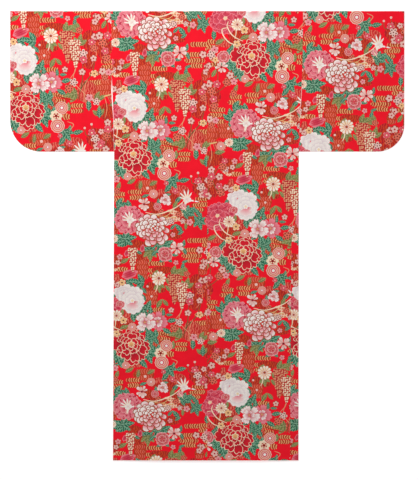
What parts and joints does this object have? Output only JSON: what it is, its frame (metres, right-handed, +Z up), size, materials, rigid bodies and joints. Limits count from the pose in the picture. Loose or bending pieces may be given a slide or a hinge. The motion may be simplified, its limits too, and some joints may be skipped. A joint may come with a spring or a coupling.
{
  "type": "yukata",
  "caption": "Cotton yukata laid out flat with its back upwards: straight T shape, wide hanging sleeves with rounded outer corners, fronts crossed underneath.",
  "frame": {"origin": "middle of the footprint, on the surface that the garment lies on", "axes": "+X towards the right sleeve seen from above, +Y from the hem up to the shoulder line, +Z up through the layers to the back"},
  "size_m": [1.38, 1.573, 0.0056],
  "materials": {
    "printed_cotton": "plain-woven cotton, red ground with a traditional all-over flower and crane print, matt",
    "collar_cotton": "the same printed cotton folded double, matt"
  },
  "bodies": {
    "root": {"body_left": "printed_cotton", "body_right": "printed_cotton", "okumi_left": "printed_cotton", "okumi_right": "printed_cotton", "sleeve_left": "printed_cotton", "sleeve_right": "printed_cotton", "collar": "collar_cotton"}
  },
  "joints": []
}
